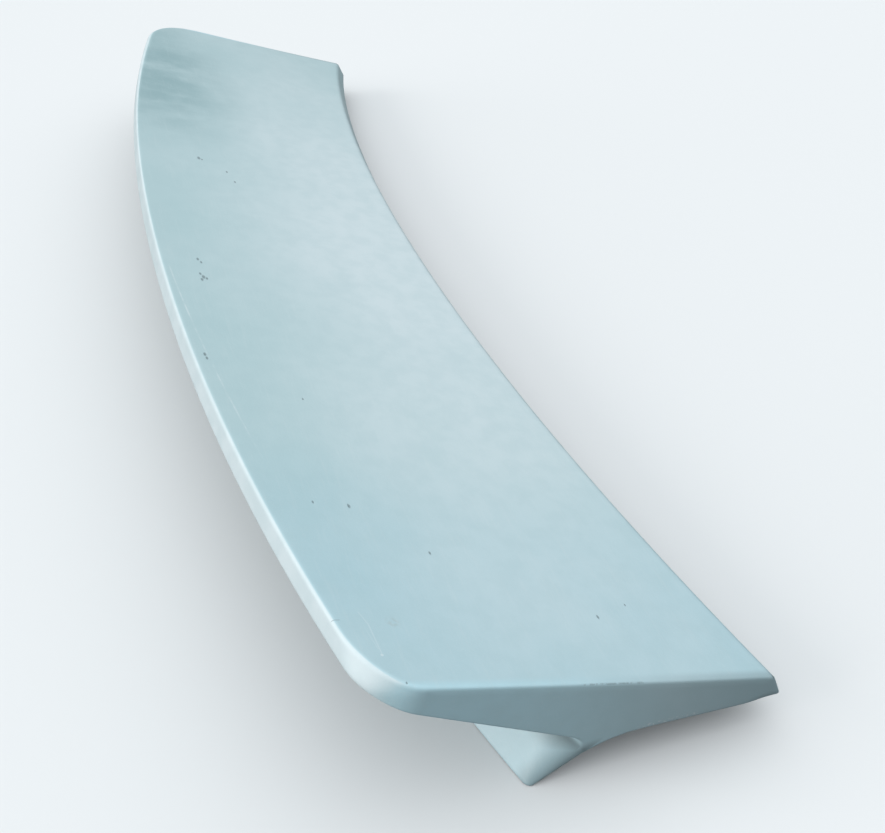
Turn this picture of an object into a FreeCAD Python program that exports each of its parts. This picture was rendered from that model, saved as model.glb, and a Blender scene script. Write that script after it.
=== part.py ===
import FreeCAD, Part
import math
import os

# Boot spoiler: one hollow glass-fibre moulding, open underneath.
# Millimetres, with +X to the right of the car, +Y to its front and +Z up.
# The origin is the middle of the foot's lower edge.

# Plan
span = 1200.0               # end to end
base_depth = 182.0          # foot edge forward to the leading edge, at mid-span
overhang = 76.2             # foot edge back to the trailing edge, at mid-span
leading_bow = 65.3          # how far the leading edge sweeps forward at the ends
trailing_bow = 62.6         # the same for the trailing edge
underside_bow = 66.4        # the same for the upper edge of the overhang's underside
foot_bow = 82.0             # the same for the foot
bow_tightening = 0.14       # share of each sweep that gathers towards the ends
tail_corner_radius = 27.0   # rear corners of the top and of the lip
foot_tip_radius = 4.5       # rear corners of the foot, at its lower edge
foot_root_radius = 34.0     # the same where the foot meets the underside

# Heights above the foot's lower edge
leading_height = 60.7       # leading edge at mid-span
leading_crown = 17.7        # drop of the leading edge from mid-span to the ends
crown_tightening = 0.43     # share of that drop that gathers towards the ends
tail_height = 131.0         # trailing edge, level from end to end

# Section
top_hollow = 1.2            # dip of the top between its two edges
lip_height = 17.2           # face along the trailing edge, at mid-span
lip_lean = 20.4             # that face, measured from upright
underside_angle = 32.2      # slope of the overhang's underside
foot_lean = 36.6            # foot's rear face, measured from upright
foot_height = 45.0          # foot's rear face, from its lower edge to the underside
foot_edge_width = 4.0       # flat along the foot's lower edge
nose_height = 21.5          # face under the leading edge
nose_rake = 9.0             # how far that face runs forward on its way down
seat_front_angle = 3.8      # seat rising back from the nose
seat_rear_angle = 32.5      # seat falling back to the foot
seat_radius = 70.0          # blend between the two slopes
rim_radius = 2.5            # rounded rim of the top
nose_radius = 4.0           # lower edge of the nose

# Shell
wall = 3.5
flange_width = 25.0         # return flange round the opening underneath
mouth_corner_radius = 15.0
least_radius = 0.5          # tightest inner corner

# Working values
half_span = span / 2
margin = 60.0               # how far construction solids pass the finished form
lip_margin = 24.0           # the same for the leaning lip, below its lower edge
rim_margin = 5.0            # the same above its rim
section_count = 9           # sections along the span
curve_point_count = 15      # points on each plan curve


def gathered(x, rise, tightening):
    """Symmetrical rise from mid-span that reaches its full value at the ends."""
    u = x / half_span
    return rise * ((1 - tightening) * u**2 + tightening * u**4)


def leading_y(x):
    return base_depth + gathered(x, leading_bow, bow_tightening)


def leading_z(x):
    return leading_height - gathered(x, leading_crown, crown_tightening)


def trailing_y(x):
    return -overhang + gathered(x, trailing_bow, bow_tightening)


def underside_y(x):
    return -overhang + gathered(x, underside_bow, bow_tightening)


def foot_y(x):
    return gathered(x, foot_bow, bow_tightening)


def slope_of(curve, x):
    step = 0.01
    return (curve(x + step) - curve(x - step)) / (2 * step)


def evenly(low, high, count):
    return [low + (high - low) * i / (count - 1) for i in range(count)]


def line(start, end):
    return Part.LineSegment(start, end).toShape()


def mirrored(point):
    return FreeCAD.Vector(-point.x, point.y, point.z)


def curve_edge(curve, reach, z):
    """A plan curve as one smooth edge, as far to the left as to the right."""
    spline = Part.BSplineCurve()
    spline.interpolate(
        Points=[FreeCAD.Vector(x, curve(x), z) for x in evenly(-reach, reach, curve_point_count)],
        InitialTangent=FreeCAD.Vector(1, slope_of(curve, -reach), 0),
        FinalTangent=FreeCAD.Vector(1, slope_of(curve, reach), 0),
    )
    return spline.toShape()


def plan_face(rear, rear_corner_radius, end_x, front_y, z):
    """Plan outline with a curved rear, rounded rear corners and straight ends and front."""
    centre_x = end_x - rear_corner_radius
    touch_x = centre_x
    for _ in range(10):
        turn = math.atan(slope_of(rear, touch_x))
        touch_x = centre_x + rear_corner_radius * math.sin(turn)
    centre_y = rear(touch_x) + rear_corner_radius * math.cos(turn)

    def on_corner(angle):
        across = rear_corner_radius * math.cos(angle)
        along = rear_corner_radius * math.sin(angle)
        return FreeCAD.Vector(centre_x + across, centre_y + along, z)

    first = turn - math.pi / 2
    corner = [on_corner(first), on_corner(first / 2), on_corner(0)]
    front = FreeCAD.Vector(end_x, front_y, z)
    edges = [
        curve_edge(rear, touch_x, z),
        Part.Arc(*corner).toShape(),
        line(corner[2], front),
        line(front, mirrored(front)),
        line(mirrored(front), mirrored(corner[2])),
        Part.Arc(*[mirrored(point) for point in corner]).toShape(),
    ]
    return Part.Face(Part.Wire(Part.__sortEdges__(edges)))


def inset_line(start, end, inset):
    """A line of the section, moved into the form by a wall."""
    direction = (end - start).normalize()
    return start + FreeCAD.Vector(0, -direction.z, direction.y) * inset, direction


def crossing(first, second):
    """Where two lines of one section cross."""
    (p, d), (q, e) = first, second
    gap = q - p
    return p + d * ((gap.y * e.z - gap.z * e.y) / (d.y * e.z - d.z * e.y))


def blend(corner, before, after, radius):
    """The arc that rounds one corner of a section."""
    a = (before - corner).normalize()
    b = (after - corner).normalize()
    half_angle = a.getAngle(b) / 2
    reach = radius / math.tan(half_angle)
    depth = radius / math.sin(half_angle) - radius
    return corner + a * reach, corner + (a + b).normalize() * depth, corner + b * reach


def section(x, inset):
    """Top, nose and seat at one station, running on behind the trailing edge."""
    lead = FreeCAD.Vector(x, leading_y(x), leading_z(x))
    tail = FreeCAD.Vector(x, trailing_y(x), tail_height)
    nose = lead + FreeCAD.Vector(0, nose_rake, -nose_height)
    foot = FreeCAD.Vector(x, foot_y(x) + foot_edge_width, 0)
    behind_nose = nose + FreeCAD.Vector(0, -1, math.tan(math.radians(seat_front_angle)))
    before_foot = foot + FreeCAD.Vector(0, 1, math.tan(math.radians(seat_rear_angle)))
    behind_tail = FreeCAD.Vector(x, tail.y - margin, 0)

    top_line = inset_line(lead, tail, inset)
    nose_line = inset_line(nose, lead, inset)
    front_line = inset_line(behind_nose, nose, inset)
    rear_line = inset_line(foot, before_foot, inset)
    back_line = inset_line(behind_tail, behind_tail + FreeCAD.Vector(0, 0, -1), 0)

    lead = crossing(top_line, nose_line)
    nose = crossing(nose_line, front_line)
    crest = crossing(front_line, rear_line)
    back_top = crossing(top_line, back_line)
    back_low = crossing(rear_line, back_line)
    seat = blend(crest, back_low, nose, seat_radius + inset)

    def on_top(y):
        share = (y - tail.y) / (leading_y(x) - tail.y)
        level = lead + (back_top - lead) * ((y - lead.y) / (back_top.y - lead.y))
        return level - FreeCAD.Vector(0, 0, 4 * top_hollow * share * (1 - share))

    top = [on_top(lead.y), on_top((lead.y + back_top.y) / 2), on_top(back_top.y)]
    edges = [
        Part.Arc(*top).toShape(),
        line(top[2], back_low),
        line(back_low, seat[0]),
        Part.Arc(*seat).toShape(),
        line(seat[2], nose),
        line(nose, top[0]),
    ]
    return Part.Wire(edges)


def block(inset):
    """Everything between the top and the seat, past the ends and behind the tail."""
    reach = half_span + margin
    return Part.makeLoft([section(x, inset) for x in evenly(-reach, reach, section_count)], True)


def front_limit():
    return leading_y(half_span) + nose_rake + margin


def planform(inset):
    """The space between the ends and ahead of the lip, down to the level of the foot's lower edge."""
    lean = math.radians(lip_lean)
    lip_z = tail_height - lip_height
    low = lip_z - lip_margin
    high = tail_height + rim_margin

    def outline(z, level):
        face = plan_face(
            lambda x: trailing_y(x) + (level - lip_z) * math.tan(lean) + inset / math.cos(lean),
            tail_corner_radius - inset,
            half_span - inset,
            front_limit(),
            z,
        )
        return face.OuterWire

    return Part.makeLoft([outline(inset, low), outline(low, low), outline(high, high)], True, True)


def pedestal(inset):
    """The foot and everything ahead of it, with corners that open out towards the top."""
    lean = math.radians(foot_lean)

    def outline(z, corner_radius):
        face = plan_face(
            lambda x: foot_y(x) + z * math.tan(lean) + inset / math.cos(lean),
            max(corner_radius - inset, least_radius),
            half_span - inset,
            front_limit() + tail_height,
            z,
        )
        return face.OuterWire

    opening = (foot_root_radius - foot_tip_radius) / foot_height
    levels = [-foot_tip_radius / opening / 2, tail_height]
    return Part.makeLoft([outline(z, foot_tip_radius + opening * z) for z in levels], True, True)


def undercut(inset):
    """What is taken away below the overhang and behind the foot."""
    reach = half_span + margin
    slope = math.radians(underside_angle)
    down = FreeCAD.Vector(0, math.cos(slope), -math.sin(slope))
    lip_z = tail_height - lip_height + inset / math.cos(slope)
    run = margin + (lip_z + 2 * margin) / math.sin(slope)
    corners = [
        FreeCAD.Vector(reach, underside_y(reach), lip_z),
        FreeCAD.Vector(reach, -overhang - 2 * run, lip_z),
    ]
    corners += [mirrored(point) for point in reversed(corners)]
    edges = [line(start, end) for start, end in zip(corners, corners[1:])]
    edges.append(curve_edge(underside_y, reach, lip_z))
    below = Part.Face(Part.Wire(Part.__sortEdges__(edges)))
    below.translate(-down * margin)
    below = below.extrude(down * run)

    return below.cut(pedestal(inset))


def form(inset):
    """The outer form, or the space inside its walls when inset by one."""
    return block(inset).common(planform(inset)).cut(undercut(inset)).Solids[0]


def mouth():
    """The opening underneath, inside the return flange."""
    end_x = half_span - flange_width

    def rear(x):
        return foot_y(x) + flange_width

    def front(x):
        return leading_y(x) + nose_rake - flange_width

    rear_edge = curve_edge(rear, end_x, -margin)
    front_edge = curve_edge(front, end_x, -margin)
    right = line(rear_edge.valueAt(rear_edge.LastParameter), front_edge.valueAt(front_edge.LastParameter))
    left = line(rear_edge.valueAt(rear_edge.FirstParameter), front_edge.valueAt(front_edge.FirstParameter))
    outline = Part.Face(Part.Wire(Part.__sortEdges__([rear_edge, right, front_edge, left])))
    prism = outline.extrude(FreeCAD.Vector(0, 0, tail_height + margin))
    uprights = [edge for edge in prism.Edges if abs(edge.tangentAt(edge.FirstParameter).z) > 0.9]
    prism = prism.makeFillet(mouth_corner_radius, uprights)
    pieces = prism.cut(block(1.5 * wall)).Solids
    return min(pieces, key=lambda piece: piece.CenterOfMass.z)


def spoiler_moulding():
    """The finished shell."""
    outer = form(0)
    nose = Part.Vertex(0, base_depth + nose_rake, leading_height - nose_height)
    nose_edge = min(outer.Edges, key=lambda edge: edge.distToShape(nose)[0])
    outer = outer.makeFillet(nose_radius, [nose_edge])
    top = max(outer.Faces, key=lambda face: face.Area)
    outer = outer.makeFillet(rim_radius, top.Edges)
    return outer.cut(form(wall)).cut(mouth()).Solids[0]


os.makedirs("parts", exist_ok=True)
spoiler_moulding().exportStep("parts/spoiler_moulding.step")
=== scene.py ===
import math

import bmesh
import bpy
import numpy as np
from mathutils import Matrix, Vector, geometry


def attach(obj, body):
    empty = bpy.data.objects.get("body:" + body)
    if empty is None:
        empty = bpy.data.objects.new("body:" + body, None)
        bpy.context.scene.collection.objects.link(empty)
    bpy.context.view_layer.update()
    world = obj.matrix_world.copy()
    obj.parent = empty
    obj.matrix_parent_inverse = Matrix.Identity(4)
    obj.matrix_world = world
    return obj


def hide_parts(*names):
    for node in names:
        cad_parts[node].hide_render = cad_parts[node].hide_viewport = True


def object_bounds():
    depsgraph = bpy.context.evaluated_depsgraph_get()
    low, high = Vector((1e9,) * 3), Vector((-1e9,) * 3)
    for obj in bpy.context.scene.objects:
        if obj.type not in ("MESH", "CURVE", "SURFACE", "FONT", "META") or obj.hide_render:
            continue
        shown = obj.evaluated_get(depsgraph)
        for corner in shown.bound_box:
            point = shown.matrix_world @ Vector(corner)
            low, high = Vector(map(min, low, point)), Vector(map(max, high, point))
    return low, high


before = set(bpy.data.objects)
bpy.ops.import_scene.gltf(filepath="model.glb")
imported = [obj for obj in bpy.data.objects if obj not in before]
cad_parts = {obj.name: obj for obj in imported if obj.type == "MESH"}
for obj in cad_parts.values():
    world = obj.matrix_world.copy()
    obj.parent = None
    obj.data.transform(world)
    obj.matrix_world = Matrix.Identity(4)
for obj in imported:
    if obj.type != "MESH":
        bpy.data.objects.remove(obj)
cadLow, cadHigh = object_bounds()
print("frame loaded, box", [round(v, 3) for v in cadHigh - cadLow])

# Lengths in metres, +X to the right of the car, +Y to its front, +Z up
halfSpan = cadHigh.x

moulding = dict(
    baseDepth=0.182,          # foot edge to leading edge, at mid-span
    overhang=-cadLow.y,       # foot edge back to trailing edge
    leadingBow=0.0653,        # sweep of each edge at the ends
    trailingBow=0.0626,
    undersideBow=0.0664,
    footBow=0.082,
    bowTightening=0.14,
    leadingHeight=0.0607,
    leadingCrown=0.0177,
    crownTightening=0.43,
    tailHeight=0.131,
    topHollow=0.0012,
    lipHeight=0.0172,
    lipLean=math.tan(math.radians(20.4)),
    lipMargin=0.024,          # how far below its edge the lean is carried
    undersideSlope=math.tan(math.radians(32.2)),
    footLean=math.tan(math.radians(36.6)),
    footEdge=0.004,           # flat along the foot's lower edge
    noseHeight=0.0215,
    noseRake=0.009,
    seatFront=math.tan(math.radians(3.8)),
    seatRear=math.tan(math.radians(32.5)),
    footTip=0.0045,           # foot's corners, at the lower edge
    footOpening=0.0295 / 0.045,   # how fast those corners open out with height
    wall=0.0035,
    flange=0.025,             # return flange round the mouth
    mouthCorner=0.015,
)

softening = dict(
    ridge=0.0025,             # rim along the trailing edge
    ridgeLeft=0.0070,         # towards the left end, where it was rubbed down
    ridgeEnd=0.0020,          # along the ends
    # rear corners in plan, at the lip's lower edge and at the rim: reach along the tail, then along the end
    rightCorner=((0.030, 0.032), (0.049, 0.035)),
    leftCorner=((0.056, 0.046), (0.060, 0.050)),
    leading=0.0025,           # rim along the leading edge
    lip=0.0010,               # lower edge of the lip
    root=0.003,               # hollow where foot meets underside
    rootEnd=0.011,            # the same as it runs out at the ends
    seat=0.012,
    lower=0.0012,             # round the seat
    noseLow=0.0045,           # lower edge of the nose
    footEdge=0.0006,
    inside=0.005,             # least radius inside the shell
    sharpest=0.0005,          # least radius of the foot's corners
)

gridCounts = dict(
    stations=220,
    top=60,
    underside=22,
    footRear=16,
    footEdge=4,
    rearFlange=7,
    rearLand=7,
    frontLand=8,
    frontFlange=8,
    height=14,
    endDepths=(0.0004, 0.0009, 0.0016, 0.0026, 0.004, 0.006, 0.010),   # how points close in on an end face
    mergeDistance=2e-6,
    sharpAngle=math.radians(50),
)


def smooth(low, high, value):
    t = np.clip((value - low) / (high - low), 0, 1)
    return t * t * (3 - 2 * t)


def gathered(x, rise, tightening):
    u = x / halfSpan
    return rise * ((1 - tightening) * u**2 + tightening * u**4)


def sweep(x, start, bow):
    return start + gathered(x, bow, moulding["bowTightening"])


def squareness(x, bow):
    # cosine of a plan curve's turn, to measure square to it
    t = moulding["bowTightening"]
    u = x / halfSpan
    slope = bow / halfSpan * (2 * (1 - t) * u + 4 * t * u**3)
    return 1 / np.sqrt(1 + slope**2)


def leadingY(x):
    return sweep(x, moulding["baseDepth"], moulding["leadingBow"])


def leadingZ(x):
    return moulding["leadingHeight"] - gathered(x, moulding["leadingCrown"], moulding["crownTightening"])


def trailingY(x):
    return sweep(x, -moulding["overhang"], moulding["trailingBow"])


def undersideY(x):
    return sweep(x, -moulding["overhang"], moulding["undersideBow"])


def footY(x):
    return sweep(x, 0, moulding["footBow"])


def lipLevel(z):
    # height that shapes the lip, which stands upright below its lean
    return np.maximum(z, moulding["tailHeight"] - moulding["lipHeight"] - moulding["lipMargin"])


def lipY(x, z):
    base = moulding["tailHeight"] - moulding["lipHeight"]
    return trailingY(x) + (lipLevel(z) - base) * moulding["lipLean"]


def lipCorner(x, z, inset):
    rise = smooth(0, 1, (lipLevel(z) - moulding["tailHeight"]) / moulding["lipHeight"] + 1)[..., None]

    def reaches(side):
        low, high = np.array(softening[side])
        return low + rise * (high - low)

    either = np.where((x < 0)[..., None], reaches("leftCorner"), reaches("rightCorner"))
    return np.moveaxis(either - inset, -1, 0)


def topSlope(x):
    return (moulding["tailHeight"] - leadingZ(x)) / (leadingY(x) - trailingY(x))


def topZ(x, y):
    share = (y - trailingY(x)) / (leadingY(x) - trailingY(x))
    dip = 4 * moulding["topHollow"] * share * (1 - share)
    return leadingZ(x) + topSlope(x) * (leadingY(x) - y) - dip


def footCorner(z):
    return np.maximum(moulding["footTip"] + moulding["footOpening"] * z, softening["sharpest"])


def rounded(a, b, radius):
    # two faces of a solid meeting at an outer edge of that radius
    past = np.hypot(np.maximum(radius + a, 0), np.maximum(radius + b, 0))
    return np.minimum(-radius, np.maximum(a, b)) + past


def drawnOut(a, b, reachA, reachB):
    # the same for a corner that reaches back further along one face than along the other
    u = np.maximum(1 + a / reachA, 0)
    v = np.maximum(1 + b / reachB, 0)
    past = np.hypot(u, v)
    steepness = np.where(past > 1e-9, np.hypot(u / reachA, v / reachB) / np.maximum(past, 1e-9), 1 / reachB)
    return (np.minimum(-1, np.maximum(a / reachA, b / reachB)) + past) / steepness


def filled(a, b, radius):
    return -rounded(-a, -b, radius)


def ridgeRadius(x, y):
    # crisp along the tail and the ends, soft at the left
    s = softening
    toEnd = smooth(-0.006, 0.03, y - trailingY(halfSpan) - s["rightCorner"][1][1])
    toLeft = smooth(0.20, 0.56, -x)
    tail = s["ridge"] + (s["ridgeLeft"] - s["ridge"]) * toLeft
    return tail + (s["ridgeEnd"] - tail) * toEnd


def rootRadius(x):
    opening = smooth(halfSpan - 0.045, halfSpan, np.abs(x))
    return softening["root"] + (softening["rootEnd"] - softening["root"]) * opening


def lowerRadius(x, y):
    towardsNose = smooth(-0.030, -0.008, y - leadingY(x) - moulding["noseRake"])
    return softening["lower"] + (softening["noseLow"] - softening["lower"]) * towardsNose


def edgeRadius(value, inset):
    return np.maximum(value - inset, softening["inside"]) if inset else value


def undercutLevel(x, y, z, inset):
    # overhang's underside and the foot's rear face
    m = moulding
    endFace = np.abs(x) - halfSpan + inset
    lipZ = m["tailHeight"] - m["lipHeight"]
    slope = m["undersideSlope"]
    under = (lipZ - (y - undersideY(x)) * slope - z) / math.hypot(1, slope) + inset
    # measured level, so that the corner is round in plan
    leaning = (footY(x) + z * m["footLean"] - y) * squareness(x, m["footBow"])
    leaning = leaning + inset * math.hypot(1, m["footLean"])
    foot = rounded(endFace, leaning, np.maximum(footCorner(z) - inset, softening["sharpest"]))
    return filled(under, foot, rootRadius(x) + inset)


def seatLevel(x, y, z, inset):
    m = moulding
    noseY = leadingY(x) + m["noseRake"]
    noseZ = leadingZ(x) - m["noseHeight"]
    frontLand = (noseZ + m["seatFront"] * (noseY - y) - z) / math.hypot(1, m["seatFront"]) + inset
    rearLand = (m["seatRear"] * (y - footY(x) - m["footEdge"]) - z) / math.hypot(1, m["seatRear"]) + inset
    return filled(rearLand, frontLand, softening["seat"] + inset)


def lowerLevel(points, inset):
    # everything below the top, as if the section ran on past the ends
    x, y, z = points.T
    undercut = undercutLevel(x, y, z, inset)
    level = rounded(undercut, seatLevel(x, y, z, inset), edgeRadius(lowerRadius(x, y), inset))
    return rounded(level, inset - z, edgeRadius(softening["footEdge"], inset))


def formLevel(points, inset):
    # below zero inside the form, above zero outside it; inset gives the space inside the wall
    x, y, z = points.T
    m = moulding
    endFace = np.abs(x) - halfSpan + inset
    top = (z - topZ(x, y)) / np.sqrt(1 + topSlope(x) ** 2) + inset
    tail = (lipY(x, z) - y) * squareness(x, m["trailingBow"]) + inset * math.hypot(1, m["lipLean"])
    outline = drawnOut(endFace, tail, *lipCorner(x, z, inset))
    noseLength = math.hypot(m["noseHeight"], m["noseRake"])
    ahead = (y - leadingY(x)) * m["noseHeight"] + (z - leadingZ(x)) * m["noseRake"]
    nose = ahead / noseLength * squareness(x, m["leadingBow"]) + inset

    level = rounded(top, outline, edgeRadius(ridgeRadius(x, y), inset))
    level = rounded(level, nose, edgeRadius(softening["leading"], inset))
    level = rounded(level, undercutLevel(x, y, z, inset), edgeRadius(softening["lip"], inset))
    level = rounded(level, seatLevel(x, y, z, inset), edgeRadius(lowerRadius(x, y), inset))
    return rounded(level, inset - z, edgeRadius(softening["footEdge"], inset))


def settle(points, levelOf, inset, axes=(0, 1, 2), rounds=14):
    # moves points onto a form along its own steepest way
    step = 2e-5
    for _ in range(rounds):
        level = levelOf(points, inset)
        slope = np.zeros_like(points)
        for axis in axes:
            shifted = points.copy()
            shifted[:, axis] += step
            slope[:, axis] = (levelOf(shifted, inset) - level) / step
        points = points - slope * (level / np.maximum((slope**2).sum(1), 0.05))[:, None]
    return points


def cosineSteps(count):
    return (1 - np.cos(np.linspace(0, math.pi, count + 1))) / 2


def crossing(firstPoint, firstSlope, secondPoint, secondSlope):
    # where two lines y -> z of one section meet
    (y1, z1), (y2, z2) = firstPoint, secondPoint
    y = (z2 - z1 + firstSlope * y1 - secondSlope * y2) / (firstSlope - secondSlope)
    return y, z1 + firstSlope * (y - y1)


def cornerSetback(x, endX, reachX, reachY):
    # how far a rounded plan corner has drawn in at x
    a = np.clip((np.abs(x) - (endX - reachX)) / reachX, 0, 1)
    return reachY * (1 - np.sqrt(1 - a * a))


def sectionCorners(x, inset):
    # corners of the section at each station, from lip round the foot and seat to the nose
    m = moulding
    endX = halfSpan - inset
    drop = inset * np.sqrt(1 + topSlope(x) ** 2)
    lipZ = m["tailHeight"] - m["lipHeight"] + inset * math.hypot(1, m["undersideSlope"])

    def footLine(z):
        line = footY(x) + z * m["footLean"] + inset * math.hypot(1, m["footLean"])
        radius = np.maximum(footCorner(z) - inset, softening["sharpest"])
        return line + cornerSetback(x, endX, radius, radius)

    def underside(y):
        return lipZ - (y - undersideY(x)) * m["undersideSlope"]

    def onLip(heightAt):
        # where the lip meets the top or the underside
        y = trailingY(x)
        for _ in range(12):
            z = heightAt(y)
            y = lipY(x, z) + inset / squareness(x, m["trailingBow"]) * math.hypot(1, m["lipLean"])
            y = y + cornerSetback(x, endX, *lipCorner(x, z, inset))
        return y, heightAt(y)

    def rearSeat(y):
        return m["seatRear"] * (y - footY(x) - m["footEdge"]) + inset * math.hypot(1, m["seatRear"])

    # the foot's face curves at the ends, so the heights where it meets its neighbours are found by halving
    def meeting(goesOn, high):
        low = np.zeros_like(x)
        high = np.full_like(x, high)
        for _ in range(40):
            middle = (low + high) / 2
            on = goesOn(footLine(middle), middle)
            low = np.where(on, middle, low)
            high = np.where(on, high, middle)
        return low

    rootZ = meeting(lambda y, z: underside(y) > z, 0.08)
    root = (footLine(rootZ), rootZ)
    noseY = leadingY(x) + m["noseRake"]
    noseZ = leadingZ(x) - m["noseHeight"]
    noseSlope = -m["noseHeight"] / m["noseRake"]
    seatSlope = -m["seatFront"]
    seatRise = inset * math.hypot(1, m["seatFront"])
    noseShift = inset * math.hypot(1, m["noseRake"] / m["noseHeight"])
    noseLow = crossing((noseY - noseShift, noseZ), noseSlope, (noseY, noseZ + seatRise), seatSlope)
    leadPoint = (leadingY(x), leadingZ(x) - drop)
    leadTop = crossing((noseY - noseShift, noseZ), noseSlope, leadPoint, -topSlope(x))
    rearPoint = (footY(x) + m["footEdge"], inset * math.hypot(1, m["seatRear"]))
    crest = crossing(rearPoint, m["seatRear"], (noseY, noseZ + seatRise), seatSlope)
    # the foot's rear face and the seat may meet above the floor: inside the wall, and at the very ends
    apexZ = meeting(lambda y, z: rearSeat(y) > z, rootZ)
    footBack = (footLine(apexZ), apexZ)
    footFront = (np.maximum(footBack[0], footY(x) + (0 if inset else m["footEdge"])), apexZ)

    mouthBack = footY(x) + m["flange"]
    mouthFront = leadingY(x) + m["noseRake"] - m["flange"]

    def onSeat(y):
        front = noseZ + m["seatFront"] * (noseY - y) + seatRise
        return np.minimum(rearSeat(y), front)

    return dict(
        tail=onLip(lambda y: topZ(x, y) - drop),
        lead=leadTop,
        lip=onLip(underside),
        root=root,
        footBack=footBack,
        footFront=footFront,
        mouthBack=(mouthBack, onSeat(mouthBack)),
        crest=crest,
        mouthFront=(mouthFront, onSeat(mouthFront)),
        nose=noseLow,
    )


def stretch(x, start, end, count):
    # points of one face of the section, close together at both of its edges
    t = cosineSteps(count)[None, :]
    y = start[0][:, None] * (1 - t) + end[0][:, None] * t
    z = start[1][:, None] * (1 - t) + end[1][:, None] * t
    return np.stack([np.broadcast_to(x[:, None], y.shape), y, z], -1)


def joinStretches(pieces):
    return np.concatenate([pieces[0]] + [piece[:, 1:] for piece in pieces[1:]], 1)


def roundMouth(grid):
    # draws the grid round the mouth's four corners
    m = moulding
    r = m["mouthCorner"]
    x = grid[..., 0]
    mouthEnd = halfSpan - m["flange"]
    for edge, way in ((footY(x) + m["flange"], 1), (leadingY(x) + m["noseRake"] - m["flange"], -1)):
        a = (np.abs(x) - (mouthEnd - r)) / r
        b = 1 - way * (grid[..., 1] - edge) / r
        near = (a > 0) & (b > 0)
        ac = np.clip(a, 0, 1)
        bc = np.clip(b, 0, 1)
        fade = 1 - smooth(0, 1, np.maximum(np.maximum(a - 1, b - 1), 0))
        moveA = ac * (np.sqrt(1 - bc * bc / 2) - 1) * fade
        moveB = bc * (np.sqrt(1 - ac * ac / 2) - 1) * fade
        grid[..., 0] += np.where(near, np.sign(x) * moveA * r, 0)
        grid[..., 1] += np.where(near, -way * moveB * r, 0)
    return grid


def stationPlaces():
    count = gridCounts["stations"]
    x = -halfSpan * np.cos(np.linspace(0, math.pi, count + 1))
    mouthEnd = halfSpan - moulding["flange"]
    first = int(np.argmin(np.abs(x + mouthEnd)))
    x[first] = -mouthEnd
    x[count - first] = mouthEnd
    return x, first


def reachInside(points, outline):
    # depth of points inside a closed outline, below zero outside it
    start = outline[None]
    run = np.roll(outline, -1, 0)[None] - start
    away = points[:, None] - start
    share = np.clip((away * run).sum(-1) / np.maximum((run**2).sum(-1), 1e-18), 0, 1)
    near = np.hypot(*np.moveaxis(away - run * share[..., None], -1, 0)).min(1)
    end = start + run
    spans = (start[..., 1] > points[:, None, 1]) != (end[..., 1] > points[:, None, 1])
    rise = np.where(np.abs(run[..., 1]) < 1e-15, 1e-15, run[..., 1])
    meets = start[..., 0] + (points[:, None, 1] - start[..., 1]) / rise * run[..., 0]
    inside = (spans & (points[:, None, 0] < meets)).sum(1) % 2 == 1
    return np.where(inside, near, -near)


def endPoints(outline):
    # points that close in on the middle of an end face from its outline
    along = np.roll(outline, -1, 0) - np.roll(outline, 1, 0)
    inward = np.stack([-along[:, 1], along[:, 0]], -1)
    inward = inward / np.maximum(np.hypot(*inward.T), 1e-9)[:, None]
    kept = np.zeros((0, 2))
    for depth in gridCounts["endDepths"]:
        for way in (1, -1):
            tried = outline + inward * depth * way
            tried = tried[reachInside(tried, outline) > 0.9 * depth]
            for point in tried:
                if not len(kept) or np.hypot(*(kept - point).T).min() > 0.7 * depth:
                    kept = np.vstack([kept, point])
    return kept


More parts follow.
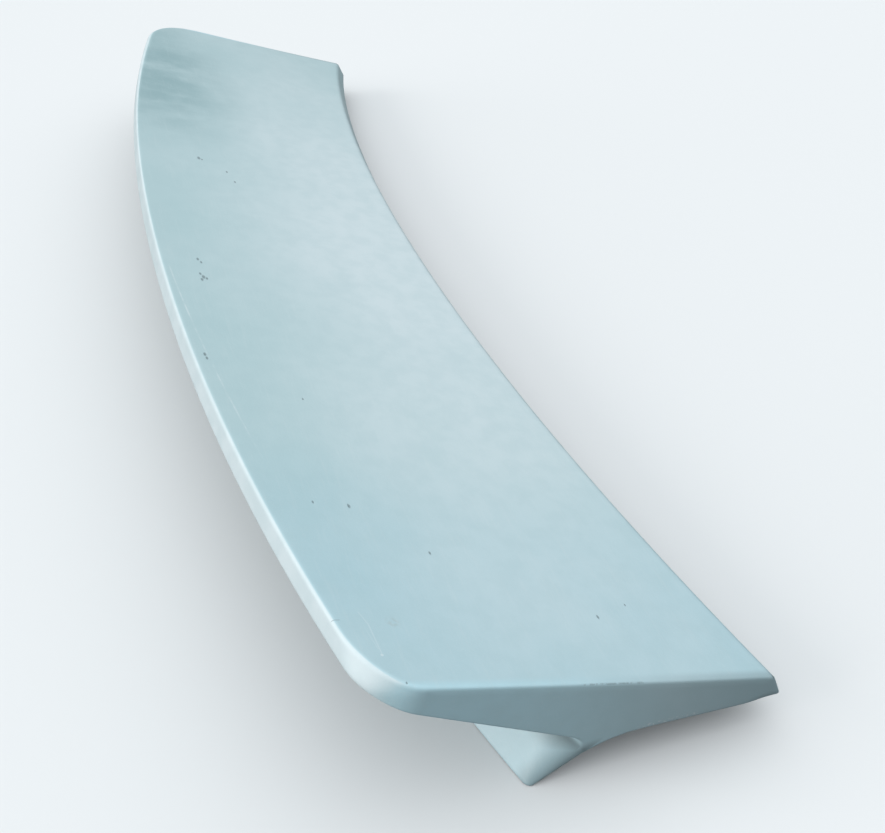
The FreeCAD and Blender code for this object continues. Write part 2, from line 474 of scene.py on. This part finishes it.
def buildSkin(mesh, inset):
    # one skin of the shell, wrapped from rows of faces and left open at the mouth; returns the mouth's rim
    c = gridCounts
    x, first = stationPlaces()
    mouthEnd = halfSpan - moulding["flange"]
    beyond = np.maximum(np.abs(x) - mouthEnd, 0) * (moulding["flange"] - inset) / moulding["flange"]
    x = np.sign(x) * (np.minimum(np.abs(x), mouthEnd) + beyond)
    s = sectionCorners(x, inset)

    below = [stretch(x, s["lip"], s["root"], c["underside"])]
    below.append(stretch(x, s["root"], s["footBack"], c["footRear"]))
    if not inset:
        below.append(stretch(x, s["footBack"], s["footFront"], c["footEdge"]))
    below.append(stretch(x, s["footFront"], s["mouthBack"], c["rearFlange"]))
    rowBack = sum(part.shape[1] - 1 for part in below)
    below.append(stretch(x, s["mouthBack"], s["crest"], c["rearLand"]))
    below.append(stretch(x, s["crest"], s["mouthFront"], c["frontLand"]))
    rowFront = rowBack + c["rearLand"] + c["frontLand"]
    below.append(stretch(x, s["mouthFront"], s["nose"], c["frontFlange"]))
    low = roundMouth(joinStretches(below))
    low = settle(low.reshape(-1, 3), lowerLevel, inset, axes=(1, 2)).reshape(low.shape)

    share = cosineSteps(c["top"])[None, :]
    topY = s["tail"][0][:, None] * (1 - share) + s["lead"][0][:, None] * share
    drop = inset * np.sqrt(1 + topSlope(x) ** 2)[:, None]
    grown = np.broadcast_to(x[:, None], topY.shape)
    high = np.stack([grown, topY, topZ(grown, topY) - drop], -1)

    # one closed row of points per station: top, nose, underneath and lip
    rise = cosineSteps(c["height"])[None, 1:-1, None]
    nosePart = high[:, -1:] * (1 - rise) + low[:, -1:] * rise
    lipPart = low[:, :1] * (1 - rise) + high[:, :1] * rise
    rows = np.concatenate([high, nosePart, low[:, ::-1], lipPart], 1)
    stations, around = rows.shape[:2]
    verts = [mesh.verts.new(point) for point in settle(rows.reshape(-1, 3), formLevel, inset)]

    def addFace(corners):
        face = mesh.faces.new(corners)
        face.material_index = 1 if inset else 0
        face.smooth = True

    def band(left, right, skip=()):
        for k in range(around):
            n = (k + 1) % around
            if k not in skip:
                addFace([left[k], left[n], right[n], right[k]])

    def rowOf(index):
        return verts[index * around:(index + 1) * around]

    def under(row):
        # place in a closed row of one row underneath
        return high.shape[1] + nosePart.shape[1] + low.shape[1] - 1 - row

    lastStation = stations - 1 - first
    mouth = range(under(rowFront), under(rowBack))
    for i in range(stations - 1):
        band(rowOf(i), rowOf(i + 1), mouth if first <= i < lastStation else ())
    for end, endX in ((0, inset - halfSpan), (stations - 1, halfSpan - inset)):
        ring = rowOf(end)
        outline = np.array([vert.co[1:] for vert in ring])
        flat = np.vstack([outline, endPoints(outline)])
        edge = [(k, (k + 1) % around) for k in range(around)]
        spots, _, triangles, origins, _, _ = geometry.delaunay_2d_cdt(
            [Vector(spot) for spot in flat], edge, [list(range(around))], 1, 1e-7)
        raised = np.array([(endX, spot.x, spot.y) for spot in spots])
        raised = settle(raised, formLevel, inset, axes=(0,))
        known = [next((k for k in origin if k < around), None) for origin in origins]
        corners = [mesh.verts.new(raised[i]) if k is None else ring[k] for i, k in enumerate(known)]
        for triangle in triangles:
            addFace([corners[i] for i in triangle])

    rim = [(i, rowBack) for i in range(first, lastStation)]
    rim += [(lastStation, j) for j in range(rowBack, rowFront)]
    rim += [(i, rowFront) for i in range(lastStation, first, -1)]
    rim += [(first, j) for j in range(rowFront, rowBack, -1)]
    return [rowOf(i)[under(j)] for i, j in rim]


def makeMoulding():
    mesh = bmesh.new()
    outerRim = buildSkin(mesh, 0)
    innerRim = buildSkin(mesh, moulding["wall"])
    for k in range(len(outerRim)):
        n = (k + 1) % len(outerRim)
        face = mesh.faces.new([outerRim[k], outerRim[n], innerRim[n], innerRim[k]])
        face.material_index = 1
        face.smooth = True
    bmesh.ops.remove_doubles(mesh, verts=mesh.verts, dist=gridCounts["mergeDistance"])
    bmesh.ops.recalc_face_normals(mesh, faces=mesh.faces)
    litres = round(mesh.calc_volume(signed=True) * 1000, 3)
    print("moulding volume in litres", litres, "faces", len(mesh.faces))
    data = bpy.data.meshes.new("spoilerShell")
    mesh.to_mesh(data)
    mesh.free()
    data.set_sharp_from_angle(angle=gridCounts["sharpAngle"])
    shell = bpy.data.objects.new("spoilerShell", data)
    bpy.context.scene.collection.objects.link(shell)
    return shell


def addNode(tree, kind, settings=None, **inputs):
    # inputs are named by socket, with underscores for spaces
    item = tree.nodes.new(kind)
    for name, value in (settings or {}).items():
        setattr(item, name, value)
    for name, value in inputs.items():
        socket = item.inputs[name.replace("_", " ")]
        if isinstance(value, bpy.types.NodeSocket):
            tree.links.new(value, socket)
        else:
            socket.default_value = value
    return item


def sums(tree, operation, *values, clamp=False):
    item = tree.nodes.new("ShaderNodeMath")
    item.operation = operation
    item.use_clamp = clamp
    for socket, value in zip(item.inputs, values):
        if isinstance(value, bpy.types.NodeSocket):
            tree.links.new(value, socket)
        else:
            socket.default_value = value
    return item.outputs[0]


def vectors(tree, operation, *values):
    item = tree.nodes.new("ShaderNodeVectorMath")
    item.operation = operation
    for socket, value in zip([i for i in item.inputs if i.type == "VECTOR"], values):
        if isinstance(value, bpy.types.NodeSocket):
            tree.links.new(value, socket)
        else:
            socket.default_value = value
    isNumber = operation in ("DISTANCE", "LENGTH", "DOT_PRODUCT")
    return item.outputs["Value" if isNumber else "Vector"]


def fade(tree, value, full, gone, strength=1.0):
    # strength where value is at full, falling smoothly to nothing at gone
    item = addNode(tree, "ShaderNodeMapRange", dict(interpolation_type="SMOOTHSTEP"), Value=value)
    item.inputs["From Min"].default_value = full
    item.inputs["From Max"].default_value = gone
    item.inputs["To Min"].default_value = strength
    item.inputs["To Max"].default_value = 0.0
    return item.outputs["Result"]


def noise(tree, place, squeeze, scale, detail=3.0, roughness=0.55):
    squeezed = vectors(tree, "MULTIPLY", place, squeeze)
    return addNode(tree, "ShaderNodeTexNoise", None, Vector=squeezed, Scale=scale, Detail=detail,
                   Roughness=roughness).outputs["Fac"]


def mixed(tree, amount, first, second):
    item = tree.nodes.new("ShaderNodeMix")
    item.data_type = "RGBA"
    for index, value in ((0, amount), (6, first), (7, second)):
        if isinstance(value, bpy.types.NodeSocket):
            tree.links.new(value, item.inputs[index])
        else:
            item.inputs[index].default_value = value
    return item.outputs[2]


def toSegment(tree, place, start, end):
    # distance to a straight line between two points
    start, end = Vector(start), Vector(end)
    run = end - start
    away = vectors(tree, "SUBTRACT", place, start)
    share = vectors(tree, "DOT_PRODUCT", away, run / run.length_squared)
    share = sums(tree, "MINIMUM", sums(tree, "MAXIMUM", share, 0.0), 1.0)
    along = tree.nodes.new("ShaderNodeVectorMath")
    along.operation = "SCALE"
    along.inputs[0].default_value = run
    tree.links.new(share, along.inputs["Scale"])
    return vectors(tree, "LENGTH", vectors(tree, "SUBTRACT", away, along.outputs["Vector"]))


primer = dict(
    colour=(0.42, 0.572, 0.597, 1),
    coolColour=(0.398, 0.575, 0.63, 1),     # towards the right end
    deepColour=(0.355, 0.51, 0.54, 1),      # thin coat
    rubbedColour=(0.255, 0.40, 0.425, 1),   # rubbed nearly through
    sheenColour=(0.60, 0.695, 0.722, 1),     # painted sheen, also painted light on the lip and ridge
    litEndColour=(0.45, 0.66, 0.73, 1),        # painted light on the rear of the ends, by the corner
    dustColour=(0.64, 0.69, 0.71, 1),
    fillerColour=(0.80, 0.84, 0.86, 1),     # chips down to the filler
    pitColour=(0.15, 0.20, 0.215, 1),
    smudgeColour=(0.36, 0.40, 0.38, 1),
    # colour of the painted shade under the overhang, on the foot's corner and along the ends
    shadeColour=(0.10, 0.125, 0.13, 1),
    roughness=0.46,
    # where a painted sheen lies or the coat is rubbed: centre and one over the reach each way
    sheenPatch=((0.03, 0.15, 0.0), (1.7, 6.5, 0.0)),
    rubbedPatch=((-0.41, -0.030, 0.0), (4.2, 9.5, 0.0)),
    # pinholes and knocks in the coat: place and radius
    pits=(
        ((-0.1511, -0.0063, 0.1118), 0.0024), ((-0.1480, -0.0035, 0.1110), 0.0013),
        ((-0.1227, 0.0185, 0.1046), 0.0014), ((-0.0984, 0.0231, 0.1031), 0.0014),
        ((0.0889, -0.0367, 0.1199), 0.0016), ((0.0945, -0.0345, 0.1194), 0.0013),
        ((0.1225, -0.0359, 0.1200), 0.0021), ((0.1170, -0.0380, 0.1206), 0.0014),
        ((0.1275, -0.0378, 0.1206), 0.0016), ((0.1250, -0.0335, 0.1193), 0.0014),
        ((0.2535, -0.0513, 0.1266), 0.0016), ((0.2590, -0.0505, 0.1264), 0.0014),
        ((0.3096, 0.0113, 0.1094), 0.0009),
        ((0.4351, -0.0074, 0.1190), 0.0009), ((0.4383, 0.0153, 0.1121), 0.0014),
        ((0.4851, 0.0559, 0.1012), 0.0010), ((0.5450, 0.1473, 0.0742), 0.0011),
        ((0.5347, 0.1717, 0.0664), 0.0007), ((0.5952, 0.0093, 0.1225), 0.0007),
        ((0.5990, 0.2462, 0.0425), 0.0014),
    ),
    # fine scratches: ends, half width and strength
    scratches=(
        ((0.5391, -0.0034, 0.1230), (0.5491, -0.0001, 0.1226), 0.0004, 0.16),
        ((0.5491, -0.0001, 0.1226), (0.5738, 0.0016, 0.1234), 0.0004, 0.2),
        ((0.5520, -0.0030, 0.1233), (0.5690, 0.0005, 0.1236), 0.0004, 0.12),
    ),
    chip=((0.5738, 0.0014, 0.1237), 0.0013, 0.4),
    crack=((0.5457, -0.0178, 0.1287), 0.0032, 0.0004),       # place on the rim, reach, half width
    smudge=((0.5475, 0.0147, 0.1175), 0.0062),
    rubbedLine=(0.10, 0.39, 0.0115, 0.026),           # from, to, distance from the tail, drift
    chippedEdge=((0.5998, 0.112, 0.0873), (0.5998, 0.152, 0.0738), 0.0012),
    tornEdge=((0.6, 0.1540, 0.0310), (0.6, 0.1960, 0.0286), 0.0022),
    # the foot's outer corner, where painted shade lies, from its tip to where it runs out on the end face
    footCorner=((0.600, 0.0865, 0.0), (0.600, 0.1260, 0.0283)),
)


def reach(tree, place, patch):
    # how far off a patch's centre, in parts of the patch's reach
    centre, spread = patch
    away = vectors(tree, "SUBTRACT", place, centre)
    return vectors(tree, "LENGTH", vectors(tree, "MULTIPLY", away, spread))


def makePrimer():
    p = primer
    material = bpy.data.materials.new("primerCoat")
    material.use_nodes = True
    tree = material.node_tree
    shader = tree.nodes["Principled BSDF"]
    coordinates = tree.nodes.new("ShaderNodeTexCoord").outputs
    place = coordinates["Object"]
    axes = addNode(tree, "ShaderNodeSeparateXYZ", None, Vector=place).outputs
    facing = addNode(tree, "ShaderNodeSeparateXYZ", None, Vector=coordinates["Normal"]).outputs
    outward = sums(tree, "ABSOLUTE", axes["X"])
    mirrored = addNode(tree, "ShaderNodeCombineXYZ", None, X=outward, Y=axes["Y"], Z=axes["Z"])
    mirrored = mirrored.outputs["Vector"]
    even = (1.0, 1.0, 1.0)

    # cloudy coat, with a painted sheen in the middle and painted light on the lip and ridge, rubbed at the
    # left end
    cloud = noise(tree, place, (0.7, 1.0, 1.0), 9.0, 3.0)
    mottle = noise(tree, place, even, 60.0, 3.0)
    streaks = noise(tree, place, (1.2, 0.8, 1.0), 17.0, 4.0, 0.62)
    # painted sheen: a pale patch across the middle of the top stands in for a reflection, with cloudy tone
    # mixed into it
    sheenAndCloud = fade(tree, reach(tree, place, p["sheenPatch"]), 0.25, 1.3, 0.8)
    sheenAndCloud = sums(tree, "MULTIPLY_ADD", fade(tree, cloud, 0.70, 0.32), 0.22, sheenAndCloud)
    sideways = sums(tree, "ABSOLUTE", facing["X"])
    # painted light: faces turned rearwards, the lip and the ridge, made paler as the low key lamp would
    # light them, with a painted highlight along the ridge
    lip = sums(tree, "MULTIPLY", fade(tree, facing["Y"], -0.30, 0.12), fade(tree, axes["Z"], 0.110, 0.104))
    lip = sums(tree, "MULTIPLY", lip, fade(tree, sideways, 0.55, 0.95))
    sheenAndCloud = sums(tree, "MAXIMUM", sheenAndCloud, lip, clamp=True)
    colour = mixed(tree, fade(tree, axes["X"], 0.55, 0.30), p["colour"], p["coolColour"])
    colour = mixed(tree, sheenAndCloud, colour, p["sheenColour"])
    onEnd = fade(tree, outward, 0.5985, 0.592)
    # painted light: the end face paler towards its rear corner, where the corner turns to the light
    litRearOfEnd = sums(tree, "MULTIPLY", onEnd, fade(tree, axes["Y"], 0.03, 0.18))
    colour = mixed(tree, litRearOfEnd, colour, p["litEndColour"])
    colour = mixed(tree, fade(tree, mottle, 0.32, 0.66, 0.16), colour, p["deepColour"])
    rubbed = fade(tree, reach(tree, place, p["rubbedPatch"]), 0.25, 1.2)
    rubbed = sums(tree, "MULTIPLY", rubbed, fade(tree, streaks, 0.30, 0.90, 0.95))
    rubbed = sums(tree, "MULTIPLY", rubbed, sums(tree, "SUBTRACT", 1.0, lip))
    colour = mixed(tree, rubbed, colour, p["rubbedColour"])

    # sanding marks and fine grain
    grain = noise(tree, place, even, 1300.0, 1.0)
    sanding = noise(tree, place, (0.05, 1.0, 1.0), 520.0, 1.0)
    colour = mixed(tree, fade(tree, grain, 0.70, 0.45, 0.08), colour, p["dustColour"])
    colour = mixed(tree, fade(tree, sanding, 0.72, 0.56, 0.07), colour, p["dustColour"])

    # light marks: rubbed line beside the tail, scratches, chip, torn lower edge
    ragged = noise(tree, place, even, 420.0, 2.0)
    square = sums(tree, "MULTIPLY", axes["X"], axes["X"])
    fromTail = sums(tree, "SUBTRACT", sums(tree, "ADD", axes["Y"], moulding["overhang"]),
                    sums(tree, "MULTIPLY", square, moulding["trailingBow"] / halfSpan**2))
    start, end, distance, drift = p["rubbedLine"]
    lineAt = sums(tree, "MULTIPLY_ADD", sums(tree, "SUBTRACT", axes["X"], start), drift, distance)
    offLine = sums(tree, "ABSOLUTE", sums(tree, "SUBTRACT", fromTail, lineAt))
    light = fade(tree, offLine, 0.0002, 0.0010, 0.32)
    fromMiddle = sums(tree, "ABSOLUTE", sums(tree, "SUBTRACT", axes["X"], (start + end) / 2))
    for within in (fade(tree, fromMiddle, (end - start) / 2 - 0.02, (end - start) / 2),
                   fade(tree, mottle, 0.70, 0.30), fade(tree, axes["Z"], 0.100, 0.099)):
        light = sums(tree, "MULTIPLY", light, within)
    for start, end, width, strength in p["scratches"]:
        mark = fade(tree, toSegment(tree, place, start, end), width * 0.4, width * 1.5, strength)
        light = sums(tree, "MAXIMUM", light, mark)
    centre, radius, strength = p["chip"]
    chip = fade(tree, vectors(tree, "DISTANCE", place, centre), radius * 0.4, radius, strength)
    light = sums(tree, "MAXIMUM", light, chip)
    start, end, width = p["tornEdge"]
    torn = fade(tree, toSegment(tree, place, start, end), width * 0.5, width)
    light = sums(tree, "MAXIMUM", light, sums(tree, "MULTIPLY", torn, fade(tree, ragged, 0.62, 0.50, 0.5)))
    colour = mixed(tree, light, colour, p["fillerColour"])

    # dark marks: pinholes, a crack across the rim, a chipped edge, a smudge
    drawn = (0.45, 1.0, 1.0)
    drawnPlace = vectors(tree, "MULTIPLY", place, drawn)
    pits = None
    for centre, radius in p["pits"]:
        centre = [c * d for c, d in zip(centre, drawn)]
        pit = fade(tree, vectors(tree, "DISTANCE", drawnPlace, centre), radius * 0.3, radius, 0.75)
        pits = pit if pits is None else sums(tree, "MAXIMUM", pits, pit)
    centre, radius, width = p["crack"]
    offCrack = sums(tree, "ABSOLUTE", sums(tree, "SUBTRACT", axes["X"], centre[0]))
    crack = fade(tree, offCrack, width * 0.4, width, 0.5)
    within = fade(tree, vectors(tree, "DISTANCE", place, centre), radius * 0.7, radius)
    crack = sums(tree, "MULTIPLY", crack, within)
    start, end, width = p["chippedEdge"]
    chipped = fade(tree, toSegment(tree, place, start, end), width * 0.4, width)
    chipped = sums(tree, "MULTIPLY", chipped, fade(tree, ragged, 0.40, 0.58, 0.5))
    dark = sums(tree, "MAXIMUM", sums(tree, "MAXIMUM", pits, crack), chipped)
    colour = mixed(tree, dark, colour, p["pitColour"])
    centre, radius = p["smudge"]
    smudge = fade(tree, vectors(tree, "DISTANCE", place, centre), radius * 0.2, radius, 0.3)
    smudge = sums(tree, "MULTIPLY", smudge, fade(tree, ragged, 0.66, 0.36))
    colour = mixed(tree, smudge, colour, p["smudgeColour"])

    # painted shade: up under the overhang, on the foot's outer corner, and darker forward along the ends
    bow = moulding["undersideBow"] / halfSpan**2
    back = sums(tree, "SUBTRACT", sums(tree, "ADD", axes["Y"], moulding["overhang"]),
                sums(tree, "MULTIPLY", square, bow))
    below = sums(tree, "MULTIPLY_ADD", back, -moulding["undersideSlope"],
                 sums(tree, "SUBTRACT", moulding["tailHeight"] - moulding["lipHeight"], axes["Z"]))
    # painted shade under the overhang, darkest at the hollow where the foot meets it
    paintedShade = fade(tree, below, 0.003, 0.030, 0.78)
    for within in (fade(tree, axes["Z"], 0.050, 0.058), fade(tree, facing["Z"], 0.35, -0.25),
                   fade(tree, facing["Y"], -0.1, 0.2), fade(tree, sideways, 0.90, 0.99)):
        paintedShade = sums(tree, "MULTIPLY", paintedShade, within)
    tip, outer = p["footCorner"]
    # painted shade on the foot's outer corner, where it turns away from the light towards the end face
    corner = fade(tree, toSegment(tree, mirrored, tip, outer), 0.0010, 0.0180, 0.6)
    forward = sums(tree, "MULTIPLY_ADD", axes["Z"], (tip[1] - outer[1]) / outer[2],
                   sums(tree, "SUBTRACT", axes["Y"], tip[1]))
    for within in (fade(tree, forward, 0.0, 0.004), fade(tree, axes["Z"], 0.022, 0.034)):
        corner = sums(tree, "MULTIPLY", corner, within)
    # painted shade: the end faces darker towards the front
    ends = sums(tree, "MULTIPLY", onEnd, fade(tree, axes["Y"], 0.27, 0.08, 0.36))
    paintedShade = sums(tree, "MAXIMUM", sums(tree, "MAXIMUM", paintedShade, corner), ends)
    colour = mixed(tree, paintedShade, colour, p["shadeColour"])
    tree.links.new(colour, shader.inputs["Base Color"])

    roughness = sums(tree, "MULTIPLY_ADD", mottle, 0.16, p["roughness"] - 0.08)
    tree.links.new(roughness, shader.inputs["Roughness"])

    peel = noise(tree, place, even, 240.0, 2.0)
    height = sums(tree, "MULTIPLY_ADD", peel, 0.5, sums(tree, "MULTIPLY", grain, 0.12))
    height = sums(tree, "MULTIPLY_ADD", sanding, 0.06, height)
    height = sums(tree, "MULTIPLY_ADD", pits, -3.0, height)
    bump = addNode(tree, "ShaderNodeBump", None, Height=height, Strength=0.5, Distance=0.00035)
    tree.links.new(bump.outputs["Normal"], shader.inputs["Normal"])
    return material


laminate = dict(
    resinColour=(0.30, 0.34, 0.29, 1),
    strandColour=(0.52, 0.55, 0.47, 1),
    dryColour=(0.63, 0.64, 0.57, 1),
    roughness=0.42,
)


def makeLaminate():
    # chopped glass mat set in resin
    material = bpy.data.materials.new("rawLaminate")
    material.use_nodes = True
    tree = material.node_tree
    shader = tree.nodes["Principled BSDF"]
    place = tree.nodes.new("ShaderNodeTexCoord").outputs["Object"]
    bent = noise(tree, place, (1.0, 1.0, 1.0), 22.0, 2.0)
    strands = None
    for turn in (0.2, 1.25, 2.3):
        spun = addNode(tree, "ShaderNodeVectorRotate", dict(rotation_type="Z_AXIS"),
                       Vector=place, Angle=turn)
        shifted = vectors(tree, "ADD", spun.outputs["Vector"], addNode(
            tree, "ShaderNodeCombineXYZ", None, Y=sums(tree, "MULTIPLY", bent, 0.03)).outputs["Vector"])
        layer = fade(tree, noise(tree, shifted, (0.07, 1.0, 0.25), 420.0, 2.0), 0.64, 0.52)
        strands = layer if strands is None else sums(tree, "MAXIMUM", strands, layer)
    colour = mixed(tree, strands, laminate["resinColour"], laminate["strandColour"])
    colour = mixed(tree, fade(tree, bent, 0.66, 0.52, 0.5), colour, laminate["dryColour"])
    tree.links.new(colour, shader.inputs["Base Color"])
    roughness = sums(tree, "MULTIPLY_ADD", strands, 0.2, laminate["roughness"])
    tree.links.new(roughness, shader.inputs["Roughness"])
    height = sums(tree, "MULTIPLY_ADD", bent, 1.5, strands)
    bump = addNode(tree, "ShaderNodeBump", None, Height=height, Strength=0.6, Distance=0.0006)
    tree.links.new(bump.outputs["Normal"], shader.inputs["Normal"])
    return material


shell = makeMoulding()
shell.data.materials.append(makePrimer())
shell.data.materials.append(makeLaminate())
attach(shell, "root")
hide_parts("spoiler_moulding")
print("moulding made")

studio = dict(
    floorSize=60.0,
    seenFloor=(0.74, 0.75, 0.755, 1),      # as the camera sees it
    litFloor=(0.13, 0.135, 0.14, 1),       # as it throws light back
    seenSky=(0.86, 0.90, 0.925, 1),
    skyColour=(0.95, 1.0, 1.03, 1),
    horizonStrength=0.05,
    zenithStrength=1.6,
    zenithPower=1.2,
    keyTowards=(-0.07, -0.98, 0.19),      # way to the low key light
    keyStrength=2.45,
    keySpread=math.radians(50),
    keyColour=(1.0, 0.97, 0.95),
)


def makeStudio():
    mesh = bpy.data.meshes.new("studioFloor")
    h = studio["floorSize"] / 2
    z = cadLow.z - 0.0005
    mesh.from_pydata([(-h, -h, z), (h, -h, z), (h, h, z), (-h, h, z)], [], [(0, 1, 2, 3)])
    floor = bpy.data.objects.new("studioFloor", mesh)
    bpy.context.scene.collection.objects.link(floor)
    material = bpy.data.materials.new("paleFloor")
    material.use_nodes = True
    tree = material.node_tree
    shader = tree.nodes["Principled BSDF"]
    seen = tree.nodes.new("ShaderNodeLightPath").outputs["Is Camera Ray"]
    tree.links.new(mixed(tree, seen, studio["litFloor"], studio["seenFloor"]), shader.inputs["Base Color"])
    shader.inputs["Roughness"].default_value = 0.9
    shader.inputs["Specular IOR Level"].default_value = 0.1
    mesh.materials.append(material)

    # a soft sky, brightest overhead
    world = bpy.data.worlds.new("studioSky")
    bpy.context.scene.world = world
    world.use_nodes = True
    tree = world.node_tree
    place = tree.nodes.new("ShaderNodeTexCoord").outputs["Generated"]
    height = addNode(tree, "ShaderNodeSeparateXYZ", None, Vector=place).outputs["Z"]
    rise = sums(tree, "POWER", sums(tree, "MAXIMUM", height, 0.0), studio["zenithPower"])
    strength = sums(tree, "MULTIPLY_ADD", rise, studio["zenithStrength"], studio["horizonStrength"])
    seen = tree.nodes.new("ShaderNodeLightPath").outputs["Is Camera Ray"]
    sky = tree.nodes["Background"]
    tree.links.new(mixed(tree, seen, studio["skyColour"], studio["seenSky"]), sky.inputs["Color"])
    level = sums(tree, "MAXIMUM", strength, seen)
    tree.links.new(level, sky.inputs["Strength"])

    lamp = bpy.data.lights.new("keyLamp", "SUN")
    lamp.energy = studio["keyStrength"]
    lamp.angle = studio["keySpread"]
    lamp.color = studio["keyColour"]
    key = bpy.data.objects.new("keyLamp", lamp)
    bpy.context.scene.collection.objects.link(key)
    key.rotation_euler = Vector(studio["keyTowards"]).to_track_quat("Z", "Y").to_euler()


makeStudio()
print("studio made")

photoCamera = dict(
    place=(0.9426, -0.08205, 0.57218),
    azimuth=72.269,
    elevation=37.193,
    focalPixels=1051.36,
    imageWidth=885,
    sensorWidth=36.0,
)


def makeCamera():
    data = bpy.data.cameras.new("photoCamera")
    data.sensor_fit = "HORIZONTAL"
    data.sensor_width = photoCamera["sensorWidth"]
    data.lens = photoCamera["focalPixels"] / photoCamera["imageWidth"] * photoCamera["sensorWidth"]
    camera = bpy.data.objects.new("photoCamera", data)
    bpy.context.scene.collection.objects.link(camera)
    a = math.radians(photoCamera["azimuth"])
    e = math.radians(photoCamera["elevation"])
    back = Vector((math.sin(a) * math.cos(e), -math.cos(a) * math.cos(e), math.sin(e)))
    camera.location = photoCamera["place"]
    camera.rotation_euler = back.to_track_quat("Z", "Y").to_euler()
    bpy.context.scene.camera = camera


makeCamera()
bpy.context.scene.view_settings.view_transform = "Standard"

print("done")
